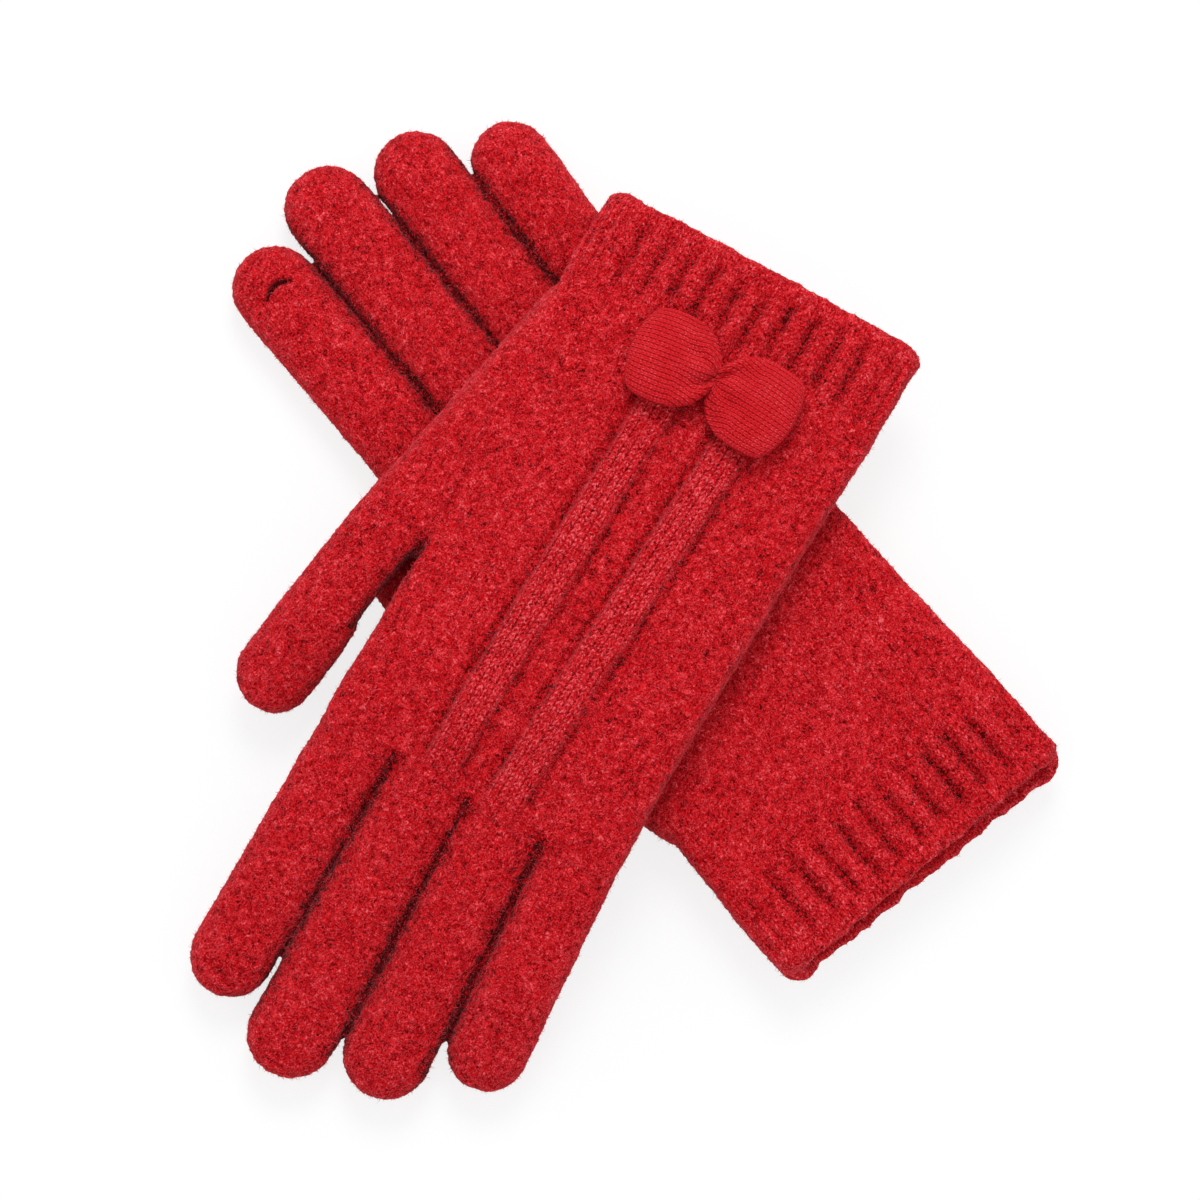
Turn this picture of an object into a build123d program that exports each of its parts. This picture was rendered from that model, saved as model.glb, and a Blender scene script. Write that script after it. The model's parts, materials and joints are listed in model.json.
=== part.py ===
"""A pair of knitted gloves, one laid across the other: rib cuff, four fingers, thumb, bow and lining."""

from build123d import *
from dataclasses import dataclass, field
from math import asin, atan2, cos, degrees, hypot, radians, sin, tan
import os

# ---------------------------------------------------------------- driving dimensions, millimetres
glove_length = 236.8        # cuff end to the tip of the middle finger
hand_thickness = 13.0       # both layers of the flat hand, with the space between them
finger_thickness = 12.5
thumb_thickness = 12.0
flat_thumb_thickness = 11.4     # the thumb that the other glove presses on
knit_wall = 2.0             # outer knit
lining_wall = 0.8
lining_gap = 0.2            # between the outer knit and the lining
running_gap = 0.3           # between pieces that turn or lie on each other
base_swell = 0.15           # a turning base is this much rounder than the finger is thick
tip_angles = (25, 45, 60, 72)
tip_flatness = 0.92         # a tip's section is at most this share of its width thick
table_gap = 0.2             # under the fingertips that come down to the table at a slant

# what the hand leaves free round a turning finger or thumb
knuckle_side_room = 0.75
palm_relief = 6.2           # behind a finger's axis, on the palm side
palm_relief_from = 3.0      # height over the middle that it starts at
back_relief = 3.6           # the same on the back, for fingers that also bend up
back_relief_from = 5.2
thumb_side_room = 0.9       # beside the thumb, for its swing towards the hand

cuff_length = 24.0          # ribbed part, hem included
hem_length = 3.0
hem_swell = 0.5             # how far the rolled hem stands out from the cuff
hem_round = 1.0
rib_count = 11              # ribs across one face of the cuff
rib_width = 3.6
rib_height = 0.5
elastic_diameter = 0.9
elastic_rings = 3
first_ring = 8.0
ring_pitch = 5.0

# outline of the hand at stations along it: distance from the cuff end, thumb side, little side
hand_outline = [
    (24.0, 45.2, -43.0),
    (60.0, 44.2, -41.3),
    (92.0, 42.2, -40.4),
    (118.0, 41.6, -39.9),
    (128.0, 41.7, -39.8),
    (139.0, 42.7, -40.2),
    (155.0, 43.5, -41.0),
]
cuff_end_outline = (0.0, 44.6, -43.8)
crotch_wall = 3.0           # knit between the fingers' roots
gusset_sink = 0.4           # the thumb's gusset is this much thinner than the hand
gusset_middle = 0.65        # share of the gusset's length that keeps its full thickness
finger_root = 146.0         # the finger tubes start inside the hand here
knuckle_line = 150.0        # the fingers' lengths and splay are measured from here

band_starts, band_ends = 45.0, knuckle_line     # raised cable bands on the back
band_width = 8.6
band_height = 0.8
band_sink = 0.4
band_centres = [(8.0, 10.5), (-13.0, -7.5)]     # at their start and at their end

bow_place = (-2.0, 32.0)
bow_loop_reach = 22.0
bow_loop_height = 23.0
bow_pinch = 5.0
bow_thickness = 7.0
bow_round = 1.8
bow_corner_round = 1.9
bow_widest = 0.55           # shares of a loop's reach and half height that its corners lie at
bow_corner = (0.92, 0.8)
wrap_width = 2.6
wrap_share = 0.8            # of the bow's thickness
wrap_round = 0.8
tack_diameter = 1.0

slit_length = 9.0           # fingertip opening for a touch screen
slit_width = 1.6
slit_from_tip = 13.0

drape_start = 119.0         # the upper glove bends down to the table from here
drape_radius = 120.0
drape_angle = 10.0
upper_thumb_droop = 9.0
lower_thumb_droop = -2.7      # its back is the side that lies on the table
lower_tilt = 1.25           # the lower glove lies on its own bow, so its plane is tilted

upper_cuff_at = (-2.5, 90.9)
lower_cuff_at = (102.7, -18.0)
lower_heading = 158.9       # direction of the lower glove's fingers, degrees from +X
upper_heading = -90.0
centre_shift = (2.5, 23.0)   # brings the pair's middle to the origin


@dataclass
class Digit:
    """A finger or thumb: where its centre line starts, which way it points and how long it is."""

    name: str
    root: tuple             # across and along the hand, where its own axis begins
    splay: float            # degrees towards the thumb side
    width: float
    tip: float              # distance of the tip from the root
    knuckle: float = 0.0    # distance of its turning axis from the root


@dataclass
class Glove:
    name: str
    plane: Plane            # x towards the thumb, y towards the fingers, z out of the back
    draped: bool
    thumb_thickness: float
    thumb_droop: float
    digits: list = field(default_factory=list)
    thumb: Digit = None
    gusset_root: tuple = ()


# ---------------------------------------------------------------- planes
def turned(plane, place, pitch=0.0, turn=0.0):
    """A plane moved within `plane`, turned about its z and then pitched about its own x."""
    return Plane(plane.location * Pos(*place) * Rot(0, 0, turn) * Rot(pitch, 0, 0))


def side_of(plane):
    """Looks at the plane from its side: x along the fingers, y out of the back."""
    return Plane(origin=plane.origin, x_dir=plane.y_dir, z_dir=plane.x_dir)


def across(plane):
    """Cross-section of the plane, normal along the fingers."""
    return Plane(origin=plane.origin, x_dir=plane.x_dir, z_dir=plane.y_dir)


def on_path(glove, along):
    """Where the middle of the glove is at a distance from the cuff end, and its pitch."""
    if not glove.draped or along <= drape_start:
        return along, 0.0, 0.0
    bend = min((along - drape_start) / drape_radius, radians(drape_angle))
    straight = along - drape_start - drape_radius * bend
    y = drape_start + drape_radius * sin(bend) + straight * cos(bend)
    z = -drape_radius * (1 - cos(bend)) - straight * sin(bend)
    return y, z, -degrees(bend)


def station(glove, along, sideways=0.0):
    y, z, pitch = on_path(glove, along)
    return turned(glove.plane, (sideways, y, z), pitch)


def finger_frame(glove, digit, distance):
    """Plane on a finger's centre line, still in the hand's own slope."""
    start = turned(station(glove, digit.root[1]), (digit.root[0], 0, 0), turn=-digit.splay)
    return turned(start, (0, distance, 0))


def end_frame(glove, digit):
    """Plane of a finger's end at its turning axis; the upper glove's ends slope down to the table."""
    frame = finger_frame(glove, digit, digit.knuckle)
    if not glove.draped:
        return frame
    radius = finger_thickness / 2
    drop = (radius + table_gap - frame.origin.Z) / (digit.tip - digit.knuckle - radius)
    slope = hypot(frame.y_dir.Z, frame.z_dir.Z)
    pitch = degrees(asin(drop / slope) - atan2(frame.y_dir.Z, frame.z_dir.Z))
    return turned(frame, (0, 0, 0), pitch)


def thumb_frame(glove):
    start = turned(glove.plane, (*glove.thumb.root, 0), turn=-glove.thumb.splay)
    return turned(start, (0, 0, 0), -glove.thumb_droop)


# ---------------------------------------------------------------- shapes
def flat_tube_section(plane, width, thickness):
    """Rounded section of a knitted tube lying flat."""
    with BuildSketch(across(plane)) as section:
        SlotOverall(width, thickness)
    return section.sketch


def hand_section(glove, along, thumb_side, little_side, inset):
    middle = (thumb_side + little_side) / 2
    width = thumb_side - little_side - 2 * inset
    return flat_tube_section(station(glove, along, middle), width, hand_thickness - 2 * inset)


def hand_form(glove, inset, over=0.0):
    """Hand, finger roots and thumb gusset as one solid form, inset from the outer surface."""
    with BuildPart() as form:
        outline = [list(row) for row in hand_outline]
        outline[0][0] -= over
        outline[-1][0] -= inset / knit_wall * crotch_wall
        loft([hand_section(glove, *row, inset) for row in outline], ruled=True)
        for digit in glove.digits:
            frame = finger_frame(glove, digit, finger_root - digit.root[1])
            length = digit.knuckle - (finger_root - digit.root[1]) + over
            tube = flat_tube_section(frame, digit.width - 2 * inset, finger_thickness - 2 * inset)
            extrude(tube, amount=length)
        loft(gusset_sections(glove, inset, over), ruled=True)
    return form.part


def gusset_sections(glove, inset, over):
    thumb = glove.thumb
    end = turned(thumb_frame(glove), (0, over, 0), glove.thumb_droop / 2)
    start = turned(glove.plane, (*glove.gusset_root, 0), turn=-thumb.splay)
    middle_at = [a + gusset_middle * (b - a) for a, b in zip(glove.gusset_root, thumb.root)]
    middle = turned(glove.plane, (*middle_at, 0), turn=-thumb.splay)
    width = thumb.width - 2 * inset
    deep = hand_thickness - gusset_sink
    heights = [deep - 2 * inset] * 2 + [glove.thumb_thickness - 2 * inset]
    return [flat_tube_section(p, width, h) for p, h in zip((start, middle, end), heights)]


def tube_form(plane, width, thickness, length, inset, back):
    """A finger as one solid form from `back` behind the plane to its rounded tip."""
    wide, deep = width - 2 * inset, thickness - 2 * inset
    tip_centre = length - width / 2
    sections = [(-back, wide, deep), (tip_centre, wide, deep)]
    for angle in tip_angles:
        narrow = wide * cos(radians(angle))
        shallow = min(deep * cos(radians(angle)) ** 0.5, tip_flatness * narrow)
        sections.append((tip_centre + wide / 2 * sin(radians(angle)), narrow, shallow))
    with BuildPart() as form:
        loft([flat_tube_section(turned(plane, (0, y, 0)), w, d) for y, w, d in sections], ruled=True)
    return form.part


def finger_base(plane, width, length):
    """Keeps the finger in front of a half-round base that turns about the knuckle's axis."""
    radius = finger_thickness / 2 + base_swell
    with BuildPart() as keep:
        with BuildSketch(side_of(plane)):
            Circle(radius)
            with Locations((length / 2, 0)):
                Rectangle(length, 2 * radius)
        extrude(amount=width, both=True)
    return keep.part


def thumb_base(plane, width, length):
    """Keeps the thumb in front of a half-round base that turns within the plane of the hand."""
    radius = width / 2 + base_swell
    with BuildPart() as keep:
        with BuildSketch(plane):
            Circle(radius)
            with Locations((0, length / 2)):
                Rectangle(2 * radius, length)
        extrude(amount=hand_thickness, both=True)
    return keep.part


def knuckle_cut(plane, digit, bends_up):
    """What the hand leaves free for a finger's end to turn in."""
    reach = finger_thickness / 2 + base_swell + running_gap
    with BuildPart() as cut:
        with BuildSketch(side_of(plane)):
            Circle(reach)
            with Locations((reach, 0)):
                Rectangle(2 * reach, 3 * reach)
            with Locations((-palm_relief / 2, -reach)):
                Rectangle(palm_relief, 2 * (reach - palm_relief_from))
            if bends_up:
                with Locations((-back_relief / 2, reach)):
                    Rectangle(back_relief, 2 * (reach - back_relief_from))
        extrude(amount=digit.width / 2 + knuckle_side_room, both=True)
    return cut.part


def thumb_cut(plane, thumb):
    """What the hand leaves free for the thumb to swing in."""
    reach = thumb.width / 2 + base_swell + running_gap
    with BuildPart() as cut:
        with BuildSketch(plane):
            Circle(reach)
            with Locations((0, thumb.width / 2)):
                Rectangle(thumb.width + 2 * thumb_side_room, thumb.width)
        extrude(amount=hand_thickness, both=True)
    return cut.part


# ---------------------------------------------------------------- sub-parts
def finished(part, name):
    part = part.moved(Pos(*centre_shift, 0))
    part.label = name
    export_step(part, f"parts/{name}.step")
    return part


def make_hand(glove, name, inset, wall, with_bands):
    with BuildPart() as hand:
        add(hand_form(glove, inset))
        if with_bands:
            for start, end in band_centres:
                add(cable_band(glove, start, end))
        add(hand_form(glove, inset + wall, over=1.0), mode=Mode.SUBTRACT)
        for digit in glove.digits:
            add(knuckle_cut(end_frame(glove, digit), digit, glove.draped), mode=Mode.SUBTRACT)
        add(thumb_cut(thumb_frame(glove), glove.thumb), mode=Mode.SUBTRACT)
    return finished(hand.part, name)


def cable_band(glove, start, end):
    """One raised band of narrow knit columns on the back of the hand."""
    top = hand_thickness / 2
    between = [row[0] for row in hand_outline if band_starts < row[0] < band_ends]
    rows = [band_starts, *between, band_ends]
    sections = []
    for along in rows:
        share = (along - band_starts) / (band_ends - band_starts)
        plane = turned(station(glove, along, start + share * (end - start)), (0, 0, top - band_sink))
        with BuildSketch(across(plane)) as section:
            RectangleRounded(band_width, 2 * (band_height + band_sink), band_height)
        sections.append(section.sketch)
    with BuildPart() as band:
        loft(sections, ruled=True)
    return band.part


def make_cuff(glove):
    first, last = hem_length, cuff_length
    with BuildPart() as cuff:
        loft([cuff_section(glove, first, 0), cuff_section(glove, last, 0)])
        pitch = (cuff_end_outline[1] - cuff_end_outline[2] - hand_thickness) / (rib_count - 1)
        for side in (1, -1):
            face = turned(glove.plane, (0, (first + last) / 2, side * hand_thickness / 2))
            with BuildSketch(face):
                with GridLocations(pitch, 1, rib_count, 1):
                    RectangleRounded(rib_width, last - first - 2, rib_width / 2 - 0.1)
            extrude(amount=rib_height, both=True)
        loft([cuff_section(glove, first - 1, knit_wall), cuff_section(glove, last + 1, knit_wall)],
             mode=Mode.SUBTRACT)
    finished(cuff.part, f"{glove.name}_cuff_rib")

    with BuildPart() as hem:
        loft([cuff_section(glove, 0, -hem_swell), cuff_section(glove, hem_length, -hem_swell)])
        fillet(hem.edges(), hem_round)
        inner = knit_wall + lining_gap
        loft([cuff_section(glove, -1, inner), cuff_section(glove, hem_length + 1, inner)],
             mode=Mode.SUBTRACT)
    finished(hem.part, f"{glove.name}_cuff_hem")

    with BuildPart() as elastic:
        for ring in range(elastic_rings):
            along = first_ring + ring_pitch * ring
            half = elastic_diameter / 2
            middle = knit_wall + lining_gap + half
            outer = [cuff_section(glove, along + d, middle - half) for d in (-half, half)]
            inner = [cuff_section(glove, along + d, middle + half) for d in (-half, half)]
            loft(outer)
            loft(inner, mode=Mode.SUBTRACT)
    finished(elastic.part, f"{glove.name}_cuff_elastic")


def cuff_section(glove, along, inset):
    share = along / cuff_length
    _, thumb_end, little_end = cuff_end_outline
    _, thumb_join, little_join = hand_outline[0]
    thumb_side = thumb_end + share * (thumb_join - thumb_end)
    little_side = little_end + share * (little_join - little_end)
    return hand_section(glove, along, thumb_side, little_side, inset)


def make_tube(name, plane, size, layer, base, slit=None):
    """Knit or lining of one finger or thumb: a closed tip, an open base."""
    inset, wall = layer
    width, _, length = size
    with BuildPart() as end:
        add(tube_form(plane, *size, inset, back=width))
        add(base(plane, width, length), mode=Mode.INTERSECT)
        add(tube_form(plane, *size, inset + wall, back=width + 1), mode=Mode.SUBTRACT)
        if slit:
            add(slit, mode=Mode.SUBTRACT)
    finished(end.part, name)


def make_digits(glove):
    layers = {"knit": (0, knit_wall), "lining": (knit_wall + lining_gap, lining_wall)}
    for kind, layer in layers.items():
        for digit in glove.digits:
            plane = end_frame(glove, digit)
            size = (digit.width, finger_thickness, digit.tip - digit.knuckle)
            slit = touch_slit(plane, size[2]) if digit.name == "index" else None
            make_tube(f"{glove.name}_{digit.name}_{kind}", plane, size, layer, finger_base, slit)
        size = (glove.thumb.width, glove.thumb_thickness, glove.thumb.tip)
        make_tube(f"{glove.name}_thumb_{kind}", thumb_frame(glove), size, layer, thumb_base)


def touch_slit(plane, length):
    """Short slit on the palm side, near the tip of the index finger."""
    place = turned(plane, (0, length - slit_from_tip, -finger_thickness / 2))
    with BuildPart() as slit:
        with BuildSketch(place):
            SlotOverall(slit_length, slit_width)
        extrude(amount=finger_thickness / 2, both=True)
    return slit.part


def bow_loop_outline(side):
    far, tall, pinch = bow_loop_reach, bow_loop_height / 2, bow_pinch / 2
    near = wrap_width / 2
    corner_x, corner_y = bow_corner[0] * far, bow_corner[1] * tall
    half = [(near, pinch), (bow_widest * far, tall), (corner_x, corner_y)]
    points = [(x, -y) for x, y in half] + [(far, 0)] + half[::-1]
    return [(side * x, y) for x, y in points]


def bow_face(glove):
    """Plane that the bow is built up from, and the bow's thickness there."""
    back = turned(glove.plane, (*bow_place, hand_thickness / 2 + rib_height + lining_gap))
    if glove.draped:
        return back, bow_thickness
    front = turned(glove.plane, (0, bow_place[1] + bow_loop_height / 2, hand_thickness / 2))
    thickness = front.origin.Z - rib_height - lining_gap
    level_x = Vector(back.x_dir.X, back.x_dir.Y, 0)
    origin = Vector(back.origin.X, back.origin.Y, thickness)
    return Plane(origin=origin, x_dir=level_x, z_dir=(0, 0, -1)), thickness


def make_bow(glove):
    face, thickness = bow_face(glove)
    for name, side in (("thumb_side", 1), ("little_side", -1)):
        with BuildPart() as loop:
            with BuildSketch(face) as outline:
                with BuildLine():
                    Polyline(*bow_loop_outline(side), close=True)
                make_face()
                fillet(outline.vertices(), bow_corner_round)
            extrude(amount=thickness)
            far_face = loop.faces().sort_by(SortBy.AREA)[-2:]
            fillet(far_face.edges(), min(bow_round, thickness / 3))
        finished(loop.part, f"{glove.name}_bow_loop_{name}")
    with BuildPart() as wrap:
        with BuildSketch(face):
            Rectangle(wrap_width - 2 * lining_gap, bow_pinch + 2)
        extrude(amount=wrap_share * thickness)
        fillet(wrap.edges(), wrap_round)
    finished(wrap.part, f"{glove.name}_bow_wrap")
    with BuildPart() as tacks:
        middle = turned(face, (0, 0, tack_diameter / 2 + lining_gap))
        with BuildSketch(Plane(origin=middle.origin, x_dir=middle.y_dir, z_dir=middle.x_dir)):
            with GridLocations(bow_pinch + 2 + tack_diameter + 2 * lining_gap, 1, 2, 1):
                Circle(tack_diameter / 2)
        extrude(amount=wrap_width / 2, both=True)
    finished(tacks.part, f"{glove.name}_bow_tacks")


# ---------------------------------------------------------------- the pair
def tilted_plane(place, heading, height, back_up):
    """Glove plane at a cuff end, in the common tilt of the pair."""
    lower_way = Vector(1, 0, 0).rotate(Axis.Z, lower_heading)
    tilt_axis = Axis((0, 0, 0), Vector(0, 0, 1).cross(lower_way))
    normal = Vector(0, 0, 1).rotate(tilt_axis, lower_tilt)
    way = Vector(1, 0, 0).rotate(Axis.Z, heading)
    way = (way - normal * way.dot(normal)).normalized()
    back = normal if back_up else normal * -1
    return Plane(origin=Vector(*place, height), x_dir=way.cross(back), z_dir=back)


def upper_cuff_height():
    """The upper glove's middle lies one hand above the lower glove's, measured square to the tilt."""
    lower_way = Vector(1, 0, 0).rotate(Axis.Z, lower_heading)
    offset = Vector(*upper_cuff_at, 0) - Vector(*lower_cuff_at, 0)
    on_plane = lower_cuff_height - tan(radians(lower_tilt)) * offset.dot(lower_way)
    return on_plane + (hand_thickness + rib_height + running_gap) / cos(radians(lower_tilt))


lower_cuff_height = finger_thickness / 2 + (glove_length - finger_thickness / 2) * sin(radians(lower_tilt))
lower = Glove(
    name="lower",
    plane=tilted_plane(lower_cuff_at, lower_heading, lower_cuff_height, back_up=False),
    draped=False,
    thumb_thickness=flat_thumb_thickness,
    thumb_droop=lower_thumb_droop,
    digits=[
        Digit("index", (32.2, knuckle_line), 0.2, 21.0, 79.0, 27.0),
        Digit("middle", (10.2, knuckle_line), -1.0, 21.2, glove_length - knuckle_line, 29.0),
        Digit("ring", (-11.2, knuckle_line), -2.6, 20.6, 79.5, 34.0),
        Digit("little", (-31.0, knuckle_line), -4.2, 19.0, 66.0, 39.0),
    ],
    thumb=Digit("thumb", (53.4, 100.0), 0.0, 19.0, 54.0),
    gusset_root=(36.0, 44.0),
)
upper = Glove(
    name="upper",
    plane=tilted_plane(upper_cuff_at, upper_heading, upper_cuff_height(), back_up=True),
    draped=True,
    thumb_thickness=thumb_thickness,
    thumb_droop=upper_thumb_droop,
    digits=[
        Digit("index", (32.3, knuckle_line), 1.6, 20.6, 77.0, 27.0),
        Digit("middle", (11.2, knuckle_line), 0.2, 20.8, glove_length - knuckle_line, 29.0),
        Digit("ring", (-9.8, knuckle_line), -1.6, 20.2, 80.0, 34.0),
        Digit("little", (-30.2, knuckle_line), -2.8, 19.2, 66.5, 39.0),
    ],
    thumb=Digit("thumb", (51.2, 103.0), 10.5, 20.4, 58.0),
    gusset_root=(36.0, 30.0),
)

os.makedirs("parts", exist_ok=True)
for glove in (lower, upper):
    make_hand(glove, f"{glove.name}_hand_knit", 0, knit_wall, with_bands=True)
    make_hand(glove, f"{glove.name}_hand_lining", knit_wall + lining_gap, lining_wall, with_bands=False)
    make_cuff(glove)
    make_digits(glove)
    make_bow(glove)
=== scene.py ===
"""Looks of a pair of knitted gloves: brushed knit, ribbed cuffs, cable bands, bows and nap.

Every skin is made in flat glove space in millimetres, then laid out and draped as the frame's solids are.
"""

import json
import math
from collections import namedtuple

import bmesh
import bpy
import numpy as np
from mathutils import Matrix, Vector


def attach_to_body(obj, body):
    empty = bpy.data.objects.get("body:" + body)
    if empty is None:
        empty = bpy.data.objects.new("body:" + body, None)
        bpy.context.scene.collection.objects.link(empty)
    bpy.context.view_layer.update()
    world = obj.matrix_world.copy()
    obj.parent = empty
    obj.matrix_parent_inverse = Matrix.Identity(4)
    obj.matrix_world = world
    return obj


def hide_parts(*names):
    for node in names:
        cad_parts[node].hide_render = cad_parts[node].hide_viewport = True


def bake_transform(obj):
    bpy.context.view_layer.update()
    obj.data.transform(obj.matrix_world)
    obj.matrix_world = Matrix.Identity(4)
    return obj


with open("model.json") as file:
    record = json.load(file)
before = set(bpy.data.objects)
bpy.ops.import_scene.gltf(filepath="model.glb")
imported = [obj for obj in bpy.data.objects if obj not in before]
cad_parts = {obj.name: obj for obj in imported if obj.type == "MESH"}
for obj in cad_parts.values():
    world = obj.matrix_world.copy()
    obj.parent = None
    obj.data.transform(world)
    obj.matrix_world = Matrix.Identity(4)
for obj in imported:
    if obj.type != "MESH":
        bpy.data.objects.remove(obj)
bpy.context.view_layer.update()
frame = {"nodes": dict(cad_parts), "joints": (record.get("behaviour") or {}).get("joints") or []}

# ---- sizes, millimetres
MM = 0.001
GLOVE_LENGTH = 236.8
HAND_THICKNESS = 13.0
FINGER_THICKNESS = 12.5
KNUCKLE_LINE = 150.0
WALL = 3.1
CAVITY_DEPTH = 62.0
HEM_DEPTH = 7.0         # the outer knit turns in this far at the wrist opening
VOXEL = 0.55
OUTLINE = [     # distance from the cuff end, thumb side, little finger's side
    (0.0, 44.6, -43.8), (24.0, 45.2, -43.0), (60.0, 44.2, -41.3), (92.0, 42.2, -40.4),
    (118.0, 41.6, -39.9), (128.0, 41.7, -39.8), (139.0, 42.4, -40.0), (151.0, 42.9, -40.4),
]
FINGER_PLUMP = {        # how far the knit stands out at each side of a finger
    "lower": {"index": 0.6, "middle": 0.7, "ring": 0.6, "little": 0.6},
    "upper": {"index": 0.1, "middle": 0.75, "ring": 0.75, "little": 0.35},
}
CROTCH = 1.7            # how far the thumb stands clear of the hand where they part
TIP_SLACK = {"lower": 0.6, "upper": 2.4}     # the knit pulls in at the tips
CREASE_DEPTH = 1.3      # where two fingers touch
# CORE_SHADE is a little below the plain 0.5 of the knit's shade: painted shade on the inner skin where it
# shows between parted fingers
CORE_DEPTH, CORE_SHADE = 1.0, 0.42      # of a finger's inner skin under its knit
SLIT_DEPTH = 2.6        # of the slit in the index fingertip
SLIT_FROM_TIP, SLIT_HALF_LENGTH = 13.0, 4.6

CUFF_LENGTH = 24.0
HAND_END, END_ROUND = 158.0, 13.0     # the hand's closed end, hidden in the finger roots
CORNER = 3.5            # rounding of the cuff's corners
RIB_PITCH, RIB_SHIFT = 7.0, 1.0
BANDS = [(8.0, 10.5), (-13.0, -7.5)]    # each band's place across the hand at its start and end
BAND_START, BAND_END, BAND_HALF = 45.0, 151.0, 4.75
WALE, COURSE = 1.9, 1.5         # width and height of one stitch
LEG_SLANT, LEG_ROUND = 0.9, 2.5     # rows that a stitch's legs rise across it, and their cross section
JERSEY_WALE, JERSEY_COURSE = 1.15, 0.95     # the same for the bow's fine jersey
BOW_PLACE = (-2.0, 32.0)
DRAPE_START, DRAPE_RADIUS, DRAPE_ANGLE = 119.0, 120.0, math.radians(10.0)
LOWER_TILT = math.radians(1.25)
HEADINGS = {"lower": math.radians(158.9), "upper": math.radians(-90.0)}
BACK_UP = {"lower": False, "upper": True}

# root in the flat hand, splay in degrees, tip and knuckle measured from the knuckle line
Digit = namedtuple("Digit", "root splay width tip knuckle")
DIGITS = {
    "lower": {
        "index": Digit(32.2, 0.2, 21.0, 79.0, 27.0),
        "middle": Digit(10.2, -1.0, 21.2, GLOVE_LENGTH - KNUCKLE_LINE, 29.0),
        "ring": Digit(-11.2, -2.6, 20.6, 79.5, 34.0),
        "little": Digit(-31.0, -4.2, 19.0, 66.0, 39.0),
    },
    "upper": {
        "index": Digit(32.3, 1.6, 20.6, 77.0, 27.0),
        "middle": Digit(11.2, 0.2, 20.8, GLOVE_LENGTH - KNUCKLE_LINE, 29.0),
        "ring": Digit(-9.8, -1.6, 20.2, 80.0, 34.0),
        "little": Digit(-30.2, -2.8, 19.2, 66.5, 39.0),
    },
}
Thumb = namedtuple("Thumb", "root splay width thick length droop gusset")
THUMBS = {
    "lower": Thumb((53.4, 100.0), 0.0, 19.0, 11.4, 54.0, -2.7, (36.0, 44.0)),
    "upper": Thumb((51.2, 103.0), 10.5, 20.4, 12.0, 58.0, 9.0, (36.0, 30.0)),
}

# where the skin is cut into pieces, and over what length a finger or thumb would bend; nothing here bends it
BLEND_REACH = 10.0      # to both sides of a finger's knuckle
CUT_BEFORE_BLEND = 3.0
THUMB_SPLIT, THUMB_BLEND_START, THUMB_BLEND_END = 7.0, 9.0, 30.0
DROOP_REACH = 9         # to both sides of a knuckle, where the finger sinks to the table
TABLE_GAP = 0.2         # under a fingertip that comes down to it

NAP_PER_AREA = 1.5      # fibres for each square millimetre
NAP_LENGTH, NAP_THICKNESS = (0.6, 1.5), (0.04, 0.08)
NAP_RISE, NAP_CURL = (0.15, 0.70), 0.5      # shares of a fibre's length

# smallest heights over the table
SKIN_LOW, NAP_LOW, BOW_LOW = 0.03, 0.02, 0.02

# each tube's own offset in the knit coordinates, so that no two show the same stitches
FINGER_ACROSS, FINGER_ALONG, THUMB_ACROSS, THUMB_ALONG = 37, 400, 211, 300

joints = {j["name"]: j for j in frame["joints"]}


# ---- small maths
def smooth(x, low, high):
    s = np.clip((x - low) / (high - low), 0, 1)
    return s * s * (3 - 2 * s)


def lattice(ix, iy, iz, seed):
    """Repeatable random value for each lattice point."""
    h = (ix * 374761393 + iy * 668265263 + iz * 2147483647 + seed * 974711) & 0xFFFFFFFF
    h = ((h ^ (h >> 13)) * 1274126177) & 0xFFFFFFFF
    return ((h ^ (h >> 16)) & 0xFFFF) / 65535.0


def noise(points, size, seed):
    """Smooth value noise from -1 to 1, `size` millimetres from bump to bump."""
    p = points / size
    i = np.floor(p).astype(np.int64)
    f = p - i
    f = f * f * (3 - 2 * f)
    total = np.zeros(len(p))
    for dx in (0, 1):
        for dy in (0, 1):
            for dz in (0, 1):
                w = ((f[:, 0] if dx else 1 - f[:, 0]) * (f[:, 1] if dy else 1 - f[:, 1])
                     * (f[:, 2] if dz else 1 - f[:, 2]))
                total += w * lattice(i[:, 0] + dx, i[:, 1] + dy, i[:, 2] + dz, seed)
    return total * 2 - 1


def unit(v):
    v = np.asarray(v, float)
    return v / np.linalg.norm(v)


def turn_about(points, centre, axis, angle):
    """Rotates each point by its own angle about one axis."""
    k = unit(axis)
    r = points - centre
    c, s = np.cos(angle)[:, None], np.sin(angle)[:, None]
    return centre + r * c + np.cross(k, r) * s + np.outer(r @ k, k) * (1 - c)


def splayed(p, root, splay):
    """From a digit's own space (x across, y along from its root) to the flat glove."""
    a = math.radians(splay)
    x = root[0] + p[:, 0] * math.cos(a) + p[:, 1] * math.sin(a)
    y = root[1] + p[:, 1] * math.cos(a) - p[:, 0] * math.sin(a)
    return np.stack([x, y, p[:, 2]], 1)


def unsplayed(p, root, splay):
    """From the flat glove to a digit's own space."""
    a = math.radians(splay)
    dx, dy = p[:, 0] - root[0], p[:, 1] - root[1]
    x = dx * math.cos(a) - dy * math.sin(a)
    y = dx * math.sin(a) + dy * math.cos(a)
    return np.stack([x, y, p[:, 2]], 1)


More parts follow.
